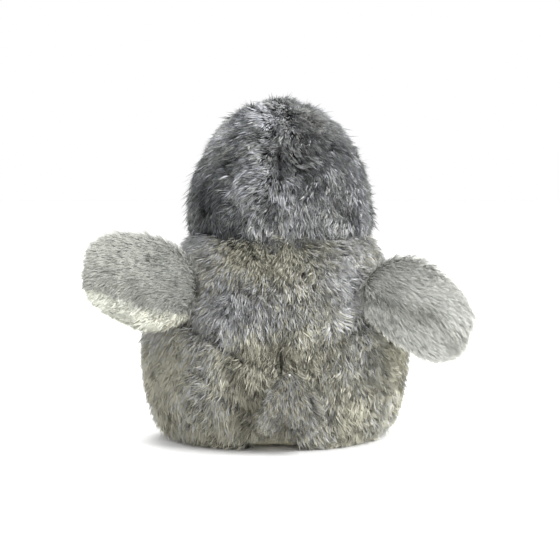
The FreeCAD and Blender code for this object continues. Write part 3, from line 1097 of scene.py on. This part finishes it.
@dataclass
class Head(SewnForm):
    """Two dark side panels, the strip over the crown and two pale cheeks."""

    body: str = "head"
    seed: int = 5
    centre_height: float = 108.0
    pile_stand: float = 4.6
    crown_half_width: float = 9.0
    crown_end: float = 6.0
    beak_height: float = 115.0
    cheek_centre: tuple[float, float] = (15.0, 119.0)
    cheek_half: tuple[float, float] = (20.0, 21.0)
    shoulder_stand: float = 2.6

    def __post_init__(self) -> None:
        """Read the head's size and place from the frame."""
        self.shoulder_half = np.array(main_box("side_left", "side_right", "back_left")[1])[:2] / MM
        low, high = main_box("head_left", "head_right", "crown_gusset", "cheek_left", "cheek_right")
        self.neck = low.z
        self.centre = Vector((0, (low.y + high.y) / 2, self.centre_height * MM))
        self.half = Vector((high.x, (high.y - low.y) / 2, high.z - self.centre.z))
        self.tone_patches = Noise(11, 51)
        self.dye_patches = Noise(15, 52)

    def cheek_line(self, places: np.ndarray) -> np.ndarray:
        """Rough distance outside the cheek panels, below 0 inside them."""
        across = (np.abs(places[:, 0]) - self.cheek_centre[0] * MM) / (self.cheek_half[0] * MM)
        up = (places[:, 2] - self.cheek_centre[1] * MM) / (self.cheek_half[1] * MM)
        back = (places[:, 1] - (self.centre.y - self.half.y)) / (self.half.y + self.centre.y)
        return (np.sqrt(across ** 2 + up ** 2 + back ** 2) - 1) * self.cheek_half[0] * MM

    def on_crown(self, places: np.ndarray) -> np.ndarray:
        """True on the strip over the crown."""
        narrow = np.abs(places[:, 0]) < self.crown_half_width * MM
        return narrow & (places[:, 2] > self.beak_height * MM) & (places[:, 1] < self.crown_end * MM)

    def seam_distance(self, places: np.ndarray) -> np.ndarray:
        """Distance to the nearest seam."""
        behind = places[:, 1] > self.crown_end * MM
        front = ~behind & (places[:, 2] > self.beak_height * MM)
        middle = np.where(behind, np.abs(places[:, 0]), 1.0)
        edge = np.abs(np.abs(places[:, 0]) - self.crown_half_width * MM)
        return np.minimum.reduce([middle, np.where(front, edge, 1.0), np.abs(self.cheek_line(places))])

    def build(self) -> None:
        """Build the skin, stuff it and dress its panels."""
        stand = Vector((self.pile_stand * MM,) * 3)
        skin = add_ball("head_skin", self.centre, self.half - stand, 96, 64)
        slice_off(skin, Vector((0, 0, self.neck + 0.4 * MM)), Vector((0, 0, -1)))
        apply_modifier(skin, "REMESH", mode="VOXEL", voxel_size=2.2 * MM)
        places = vertices_of(skin)
        outward = unit((places - np.array(self.centre)) / np.array(self.half) ** 2)
        dent = hill(self.seam_distance(places), 3.0 * MM) * 2.0
        pinch = hill(places[:, 2] - 133 * MM, 12 * MM) * hill(places[:, 0], 5 * MM) * (places[:, 1] > 0)
        places = places - outward * ((dent + 2.2 * pinch) * MM)[:, None]
        high = places[:, 2]
        places[:, 0] *= 1 - 0.04 * step(high, 122 * MM, 142 * MM) - 0.08 * step(high, 146 * MM, 160 * MM)
        move_vertices(skin, places)
        places = vertices_of(skin)
        sewn = (places[:, 2] < self.neck + 2 * MM) | (self.seam_distance(places) < 1.8 * MM)
        stuff(skin, sewn, 2.0)
        self.fill(skin, "head_stuffing")
        apply_modifier(skin, "SUBSURF", levels=1, render_levels=1)
        self.dress(skin, self.panels(), self.owners(face_centres(skin)))

    def owners(self, places: np.ndarray) -> np.ndarray:
        """The number of the panel that each place belongs to, or -1 at the neck."""
        left = places[:, 0] > 0
        owner = np.where(left, 0, 1)
        owner = np.where(self.cheek_line(places) < 0, np.where(left, 3, 4), owner)
        owner = np.where(self.on_crown(places), 2, owner)
        return np.where(places[:, 2] < self.neck + 1.0 * MM, -1, owner)

    def panels(self) -> list[Panel]:
        """The head's panels, in the order that owners numbers them."""
        dark = ("head_left", "head_right", "crown_gusset")
        panels = [Panel(node, "charcoal_pile", DARK_BACKING, HEAD_PILE) for node in dark]
        cheeks = ("cheek_left", "cheek_right")
        return panels + [Panel(node, "white_plush", PALE_BACKING, FACE_PILE) for node in cheeks]

    def comb(self, places: np.ndarray) -> np.ndarray:
        """Down from the crown; brushed outwards on the left of the back, and to the seam beside it."""
        side, up = places[:, 0], places[:, 2]
        left = 8 + 67 * step(up, 100 * MM, 138 * MM)
        right = 22 * hill(side + 9 * MM, 9 * MM) - 16 * step(-side, 18 * MM, 38 * MM)
        turn = np.radians(np.where(side > -1 * MM, left * step(side, -1 * MM, 6 * MM), right))
        behind = np.stack([np.sin(turn), np.full(len(side), 0.25), -np.cos(turn)], axis=1)
        ahead = np.stack([side / (30 * MM), np.full(len(side), 0.6), -np.ones(len(side))], axis=1)
        share = step(places[:, 1], -14 * MM, 8 * MM)[:, None]
        return behind * share + ahead * (1 - share)

    def tone(self, places: np.ndarray) -> np.ndarray:
        """Painted shade at the pinch behind the crown, with a pale parting below it; painted light over the
        top and along the rims, painted shade over the left side.
        """
        tone = 0.06 * self.tone_patches(places) - 0.12 * hill(self.seam_distance(places), 2.5 * MM)
        # painted light: the top of the head made paler, as light falls from above
        tone += 0.09 + 0.12 * step(places[:, 2], 138 * MM, 158 * MM)
        # painted shade: the left side of the head, away from the key light, made darker
        tone -= 0.31 * step(places[:, 0], 2 * MM, 14 * MM) * step(places[:, 1], -10 * MM, 10 * MM)
        return tone + sum(spot.over(places) for spot in HEAD_SPOTS)

    def second_dye(self, places: np.ndarray) -> np.ndarray:
        """More of the blue-grey dye in soft patches."""
        return 0.40 + 0.15 * self.dye_patches(places)

    def settle(self, places: np.ndarray) -> np.ndarray:
        """Rest the lowest fibres on the shoulders, so that the head turns over them."""
        shoulders = (self.shoulder_half - self.shoulder_stand) * MM
        low = places[:, 2] < self.neck + 0.5 * MM
        rise = np.clip((places[:, 2] / MM - Torso.centre_height) / Torso.half_rise, -1, 1)
        reach = np.sqrt(1 - rise ** 2)[:, None] * shoulders
        share = np.sqrt(((places[:, :2] / reach) ** 2).sum(1))
        push = np.where(low, np.maximum(1.0, 1.0 / np.maximum(share, 1e-3)), 1.0)
        return places * np.stack([push, push, np.ones(len(push))], axis=1)


# ---------------------------------------------------------------- flippers, tail and feet


@dataclass
class Pad(SewnForm):
    """A stuffed pad of two panels, sewn on along its hinge line."""

    nodes: tuple[str, str, str] = ("", "", "")
    joint: str = ""
    pile_stand: float = 4.2
    tip_stand: float = 8.0
    root_reach: float = 9.0
    voxel_mm: float = 1.7

    def __post_init__(self) -> None:
        """Read the pad's hinge, directions and half sizes from the frame."""
        joint = next(j for j in frame["joints"] if j["name"] == self.joint)
        self.hinge = Vector(joint["pos_m"])
        across = Vector(joint["axis"]).normalized()
        low, high = main_box(*self.nodes[:2])
        filling = vertices_of(frame["nodes"][self.nodes[2]])
        outwards = Vector((filling.max(0) + filling.min(0)) / 2) - self.hinge
        outwards = (outwards - across * outwards.dot(across)).normalized()
        self.across = across
        self.outwards = outwards
        self.facing = outwards.cross(across)
        shells = np.concatenate([vertices_of(frame["nodes"][node]) for node in self.nodes[:2]])
        first = vertices_of(frame["nodes"][self.nodes[0]])
        if ((first - np.array(self.hinge)) @ np.array(self.facing)).mean() < 0:
            self.facing = -self.facing
            self.across = -self.across
        local = self.to_local(shells)
        self.half = (local.max(0) - local.min(0)) / 2
        self.middle = (local.max(0)[0] + local.min(0)[0]) / 2

    def axes(self) -> np.ndarray:
        """The pad's own directions, outwards, across and facing, one in each row."""
        return np.array([self.outwards, self.across, self.facing])

    def to_local(self, places: np.ndarray) -> np.ndarray:
        """Places in the pad's own directions from its hinge."""
        return (places - np.array(self.hinge)) @ self.axes().T

    def to_world(self, local: np.ndarray) -> np.ndarray:
        """Places in the row frame."""
        return local @ self.axes() + np.array(self.hinge)

    def outline(self, local: np.ndarray) -> np.ndarray:
        """Shape the pad in its own directions; as it is, unless a pad says otherwise."""
        return local

    def build(self) -> None:
        """Build the skin, stuff it and dress its two panels."""
        half = self.half - self.pile_stand * MM
        skin = add_ball(self.body + "_skin", Vector((self.middle, 0, 0)), Vector(half), 48, 32)
        local = vertices_of(skin)
        tip = self.middle + self.half[0]
        far = step(local[:, 0], self.middle, tip)
        local[:, 0] -= far * (self.tip_stand - self.pile_stand) * MM
        root = 1 - step(local[:, 0], -0.2 * self.half[0], 0.6 * self.half[0])
        local[:, 0] -= root * self.root_reach * MM
        move_vertices(skin, self.to_world(self.outline(local)))
        apply_modifier(skin, "REMESH", mode="VOXEL", voxel_size=self.voxel_mm * MM)
        local = self.to_local(vertices_of(skin))
        stuff(skin, (np.abs(local[:, 2]) < 1.0 * MM) | (local[:, 0] < 0), 1.5)
        self.fill(skin, self.nodes[2])
        apply_modifier(skin, "SUBSURF", levels=1, render_levels=1)
        self.dress(skin, self.panels(), self.owners(face_centres(skin)))

    def owners(self, places: np.ndarray) -> np.ndarray:
        """The number of the panel that each place belongs to."""
        return np.where(self.to_local(places)[:, 2] > 0, 0, 1)

    def panels(self) -> list[Panel]:
        """The pad's two panels: the face that shows from behind, and the other one."""
        return [
            Panel(self.nodes[0], "silver_pile", GREY_BACKING, FLIPPER_PILE),
            Panel(self.nodes[1], "white_plush", PALE_BACKING, WHITE_PILE),
        ]

    def attach(self, piece: bpy.types.Object) -> None:
        """Bake the piece's place into its mesh, and leave it on no body."""
        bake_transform(piece)


@dataclass
class Flipper(Pad):
    """A flipper: grey outside, short and white inside. The left one's white turns out at its lower edge."""

    squareness: float = 2.7
    root_lift: float = 0.0
    tip_lift: float = 0.0
    shoulder: float = 0.0
    bulge: float = 0.0
    upper_rise: float = 0.0
    lower_rise: float = 0.0
    white_edge: float = 0.0
    seam_slope: float = 0.5
    fold: float = 0.0
    # painted light and shade for each side: paler on the right flipper, darker on the left
    side_light_shift: float = 0.0
    tip_tone: float = 0.6
    low_tone: float = 0.1
    white_tone: float = 0.0
    # painted shade in the crease along the seam to the white
    crease_shade: float = 0.3
    pale_reach: float = 1.9

    def lower_edge(self, local: np.ndarray) -> np.ndarray:
        """How far each place is towards the flipper's lower edge, from -1 to 1."""
        return -local[:, 1] / (self.half[1] - self.pile_stand * MM) * math.copysign(1, self.across.z)

    def outline(self, local: np.ndarray) -> np.ndarray:
        """Square its corners a little, and lift its root, its tip and each edge as they hang."""
        local = local.copy()
        along = (local[:, 0] - self.middle) / self.half[0]
        across = local[:, 1] / self.half[1]
        round_length = np.sqrt(along ** 2 + across ** 2)
        power = self.squareness
        square_length = (np.abs(along) ** power + np.abs(across) ** power) ** (1 / power)
        squarer = (round_length / np.maximum(square_length, 1e-6))[:, None]
        local[:, :2] = local[:, :2] * squarer + (self.middle, 0) * (1 - squarer)
        far = step(local[:, 0], 0, self.middle + self.half[0])
        low = np.clip(self.lower_edge(local), -1, 1)
        upwards = self.root_lift + (self.tip_lift - self.root_lift) * far
        upwards += (self.shoulder * (1 - far) + self.upper_rise * far) * np.maximum(-low, 0)
        upwards += (self.lower_rise * far - self.bulge * hill(far - 0.1, 0.35)) * np.maximum(low, 0)
        local[:, 1] += upwards * MM * math.copysign(1, self.across.z)
        past_root = step(local[:, 0], 0, 0.6 * self.half[0])
        dent = self.fold * MM * hill(low - 0.35, 0.2) * (1.1 - far) * past_root
        local[:, 2] -= np.where(local[:, 2] > 0, dent, 0)
        return local

    def owners(self, places: np.ndarray) -> np.ndarray:
        """Outer panel first; the seam lies on the outer face along the lower edge."""
        local = self.to_local(places)
        seam = self.white_edge * MM * step(self.seam_side(local), 0.2, 0.55)
        return np.where(local[:, 2] > seam, 0, 1)

    def seam_side(self, local: np.ndarray) -> np.ndarray:
        """How far each place is past the seam, which slopes: the white is widest towards the tip."""
        far = step(local[:, 0], 0, self.middle + self.half[0])
        return self.lower_edge(local) + self.seam_slope * (far - 0.4)

    def comb(self, places: np.ndarray) -> np.ndarray:
        """Towards the tip and a little down, more so over the seam to the white."""
        down = 0.35 + 0.7 * hill(self.seam_side(self.to_local(places)) - 0.3, 0.25)
        return np.array(self.outwards)[None] - down[:, None] * np.array((0.0, 0.0, 1.0))

    def tone(self, places: np.ndarray) -> np.ndarray:
        """Lighter towards the tip, with painted shade in the crease along the seam to the white; painted
        lighter on the right flipper and darker on the left.
        """
        local = self.to_local(places)
        far = step(local[:, 0], 0.1 * self.half[0], self.pale_reach * self.half[0])
        low = self.lower_edge(local)
        upper = 1 - step(low, -0.3, 0.15)
        crease = hill(low - 0.25, 0.12) * np.clip(1.3 - far, 0, 1)
        tone = self.tip_tone * far * upper + self.low_tone * (1 - upper)
        white = step(self.seam_side(local), 0.25, 0.45)
        return self.side_light_shift + tone - self.crease_shade * crease + self.white_tone * white

    def trim(self, places: np.ndarray) -> np.ndarray:
        """Shorter where it is sewn to the torso."""
        return 0.8 + 0.2 * step(self.to_local(places)[:, 0], 0, 0.5 * self.half[0])

    def second_dye(self, places: np.ndarray) -> np.ndarray:
        """Grey near the root."""
        local = self.to_local(places)
        return 0.5 - 0.45 * step(local[:, 0], 0, 0.9 * self.half[0])


FLIPPER_SHAPES = {
    "left": {"root_lift": 2.0, "tip_lift": 3.5, "tip_stand": 10.5, "shoulder": 3.5, "bulge": 4.0,
             "lower_rise": 4.0, "white_edge": 7.5, "side_light_shift": -0.8, "low_tone": 0.0,
             "white_tone": 0.4},
    "right": {"root_lift": 1.5, "tip_lift": -3.5, "tip_stand": 9.0, "shoulder": 2.2,
              "upper_rise": -6.0, "lower_rise": 0.5, "fold": 2.5, "side_light_shift": 0.12,
              "tip_tone": 1.5, "low_tone": -0.05, "crease_shade": 0.6, "pale_reach": 1.0},
}


@dataclass
class Tail(Pad):
    """The tail: a short flap of two soft lobes."""

    parting: float = 1.5
    curl: float = 7.0

    def outline(self, local: np.ndarray) -> np.ndarray:
        """Narrow it, notch the lower edge, which makes two lobes, and curl the tip in to the body."""
        local = local.copy()
        far = step(local[:, 0], 0, 1.8 * self.half[0])
        aside = local[:, 1] * math.copysign(1, self.across.x) - self.parting * MM
        local[:, 1] *= 0.5 + 0.38 * far
        local[:, 0] -= 9 * MM * far * hill(aside, 5 * MM)
        outside = math.copysign(1, self.facing.y)
        local[:, 2] -= outside * (2.0 * far * hill(aside, 4 * MM) + self.curl * far ** 2) * MM
        return local

    def tone(self, places: np.ndarray) -> np.ndarray:
        """Darker at the root."""
        local = self.to_local(places)
        return -0.28 + 0.2 * step(local[:, 0], 0, 1.2 * self.half[0])

    def comb(self, places: np.ndarray) -> np.ndarray:
        """Down, parted in the middle."""
        local = self.to_local(places)
        return np.array(self.outwards)[None] + np.array(self.across)[None] * (local[:, 1:2] / (14 * MM))

    def panels(self) -> list[Panel]:
        """Grey pile on both faces."""
        return [Panel(node, "grey_pile", GREY_BACKING, TAIL_PILE) for node in self.nodes[:2]]


@dataclass
class Foot(Pad):
    """A foot: a felt pad with three toes."""

    pile_stand: float = 0.5
    tip_stand: float = 0.5
    root_reach: float = 5.0
    voxel_mm: float = 1.0
    toe_pitch: float = 7.6
    toe_notch: float = 4.0

    def outline(self, local: np.ndarray) -> np.ndarray:
        """Notch the front edge, which makes the toes, and narrow the root."""
        local = local.copy()
        far = step(local[:, 0], 0.8 * self.middle, self.middle + self.half[0])
        groove = hill(np.abs(local[:, 1]) - self.toe_pitch / 2 * MM, 1.7 * MM)
        local[:, 0] -= self.toe_notch * MM * far * groove
        local[:, 2] *= 1 - 0.45 * far * groove
        local[:, 1] *= 0.72 + 0.28 * step(local[:, 0], 0, self.middle)
        return local

    def panels(self) -> list[Panel]:
        """Felt above and below."""
        return [Panel(node, "dark_felt", CHARCOAL_FELT) for node in self.nodes[:2]]

    def owners(self, places: np.ndarray) -> np.ndarray:
        """The upper panel first, then the sole."""
        upper = self.to_local(places)[:, 2] * math.copysign(1, self.facing.z) > 0
        return np.where(upper, 0, 1)


@dataclass
class Beak(SewnForm):
    """A short felt beak of an upper and a lower half."""

    body: str = "head"
    seed: int = 11

    def build(self) -> None:
        """Build the beak as a stuffed cone and dress its two halves."""
        low, high = main_box("beak_upper", "beak_lower")
        middle, half = (low + high) / 2, (high - low) / 2
        skin = add_ball("beak_skin", middle, half, 32, 20)
        places = vertices_of(skin)
        forward = np.clip((high.y - places[:, 1]) / (high.y - low.y), 0, 1)
        width = 1.12 - 0.55 * forward ** 1.5
        places[:, 0] *= width
        places[:, 2] = middle.z + (places[:, 2] - middle.z) * width - 1.2 * MM * forward ** 2
        move_vertices(skin, places)
        apply_modifier(skin, "REMESH", mode="VOXEL", voxel_size=0.8 * MM)
        self.fill(skin, "beak_stuffing", 1.2)
        apply_modifier(skin, "SUBSURF", levels=1, render_levels=1)
        centres = face_centres(skin)
        forward = np.clip((high.y - centres[:, 1]) / (high.y - low.y), 0, 1)
        gape = middle.z - 0.6 * MM - 1.2 * MM * forward ** 2
        panels = [Panel(node, "black_felt", BLACK_FELT) for node in ("beak_upper", "beak_lower")]
        self.dress(skin, panels, np.where(centres[:, 2] > gape, 0, 1))


@dataclass
class Pouch(SewnForm):
    """The pouch of pellets that keeps the penguin sitting."""

    body: str = "torso"
    seed: int = 13
    pellet_mm: float = 3.2

    def build(self) -> None:
        """Build the pouch, and the pellets in it."""
        low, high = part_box("pellet_pouch")
        skin = add_ball("pouch_skin", (low + high) / 2, (high - low) / 2 - Vector((0.5 * MM,) * 3), 48, 32)
        apply_modifier(skin, "REMESH", mode="VOXEL", voxel_size=2.0 * MM)
        apply_modifier(skin, "SUBSURF", levels=1, render_levels=1)
        panels = [Panel("pellet_pouch", "pouch_cloth", PALE_BACKING)]
        self.dress(skin, panels, np.zeros(len(skin.data.polygons), int))
        self.pellets()

    def pellets(self) -> None:
        """Pile up the pellets, copies of one small bead, as one piece."""
        low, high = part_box("pellets")
        middle, half = np.array((low + high) / 2), np.array((high - low) / 2)
        random = np.random.default_rng(self.seed)
        pitch = self.pellet_mm * 1.15 * MM
        steps = [np.arange(-h, h, pitch) for h in half]
        grid = np.stack(np.meshgrid(*steps, indexing="ij"), axis=-1).reshape(-1, 3)
        grid += random.uniform(-0.15, 0.15, grid.shape) * pitch
        inside = ((grid / (half - self.pellet_mm * 0.7 * MM)) ** 2).sum(1) < 1
        seats = grid[inside] + middle
        choose()
        bpy.ops.mesh.primitive_ico_sphere_add(subdivisions=1, radius=self.pellet_mm / 2 * MM)
        bead = bpy.context.active_object
        corners = vertices_of(bead)
        faces = np.array([list(face.vertices) for face in bead.data.polygons])
        bpy.data.objects.remove(bead)
        places = (seats[:, None] + corners[None]).reshape(-1, 3)
        rings = (faces[None] + len(corners) * np.arange(len(seats))[:, None, None]).reshape(-1, 3)
        mesh = bpy.data.meshes.new("pellet_beads")
        mesh.from_pydata(places.tolist(), [], rings.tolist())
        mesh.materials.append(PELLET_PLASTIC.material())
        beads = add_object("pellet_beads", mesh)
        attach(beads, self.body)
        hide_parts("pellets")
        LOG.info("pellet_beads: %d pellets", len(seats))


def dress_kept_nodes() -> None:
    """Give the hard parts that the CAD model already shapes, the eyes and their washers, their plastic."""
    for side in ("left", "right"):
        for node, finish in ((f"eye_{side}", EYE_PLASTIC), (f"eye_washer_{side}", WASHER_PLASTIC)):
            for slot in frame["nodes"][node].material_slots:
                slot.material = finish.material()
            LOG.info("%s: %s", node, finish.name)


# ---------------------------------------------------------------- stage


@dataclass(frozen=True)
class Studio:
    """Plain pale floor, soft studio light and the camera. Sizes in metres."""

    distance: float = 0.758
    elevation: float = 4.0
    look_at: tuple[float, float, float] = (0.0, 0.0, 0.0765)
    lens_mm: float = 100.0

    def build(self) -> None:
        """Build the floor, the lights, the sky and the camera."""
        self.floor()
        self.light("key_light", (-1.3, 0.7, 0.9), 0.9, 36.0)
        self.light("back_light", (0.2, -1.0, 1.5), 1.0, 24.0)
        world = bpy.data.worlds.new("studio")
        world.use_nodes = True
        world.node_tree.nodes["Background"].inputs["Color"].default_value = linear("#ffffff")
        world.node_tree.nodes["Background"].inputs["Strength"].default_value = 1.0
        bpy.context.scene.world = world
        bpy.context.scene.view_settings.view_transform = "Standard"
        self.camera()

    def floor(self) -> None:
        """A wide, pale, matt floor."""
        choose()
        bpy.ops.mesh.primitive_plane_add(size=12.0)
        floor = bpy.context.active_object
        floor.name = "floor"
        material, _tree, shader = new_material("matt_white_paper")
        shader.inputs["Base Color"].default_value = linear("#ffffff")
        shader.inputs["Roughness"].default_value = 0.9
        floor.data.materials.append(material)

    def light(self, name: str, place: tuple[float, float, float], size: float, power: float) -> None:
        """Add a soft square light that looks at the penguin.

        Args:
            name: the light's name.
            place: where it stands.
            size: its side.
            power: its power in watts.
        """
        lamp = bpy.data.lights.new(name, "AREA")
        lamp.energy = power
        lamp.size = size
        holder = add_object(name, lamp)
        holder.location = place
        holder.rotation_euler = (Vector(self.look_at) - Vector(place)).to_track_quat("-Z", "Y").to_euler()

    def camera(self) -> None:
        """A camera behind the penguin, nearly level with it."""
        lens = bpy.data.cameras.new("camera")
        lens.lens = self.lens_mm
        holder = add_object("camera", lens)
        angle = math.radians(self.elevation)
        offset = Vector((0, math.cos(angle), math.sin(angle))) * self.distance
        holder.location = Vector(self.look_at) + offset
        holder.rotation_euler = (-offset).to_track_quat("-Z", "Y").to_euler()
        bpy.context.scene.camera = holder


def main() -> None:
    """Build the penguin and its stage."""
    logging.basicConfig(level=logging.INFO, format="%(message)s")
    Torso().build()
    Head().build()
    for seed, side in enumerate(("left", "right"), start=20):
        nodes = tuple(f"flipper_{side}_{part}" for part in ("outer", "inner", "stuffing"))
        Flipper(f"flipper_{side}", seed, nodes, f"flipper_{side}_flap", **FLIPPER_SHAPES[side]).build()
        nodes = tuple(f"foot_{side}_{part}" for part in ("upper", "sole", "stuffing"))
        Foot(f"foot_{side}", seed + 10, nodes, f"foot_{side}_lift").build()
    Tail("tail", 9, ("tail_upper", "tail_lower", "tail_stuffing"), "tail_lift").build()
    Beak().build()
    Pouch().build()
    dress_kept_nodes()
    Studio().build()


if __name__ == "__main__":
    main()
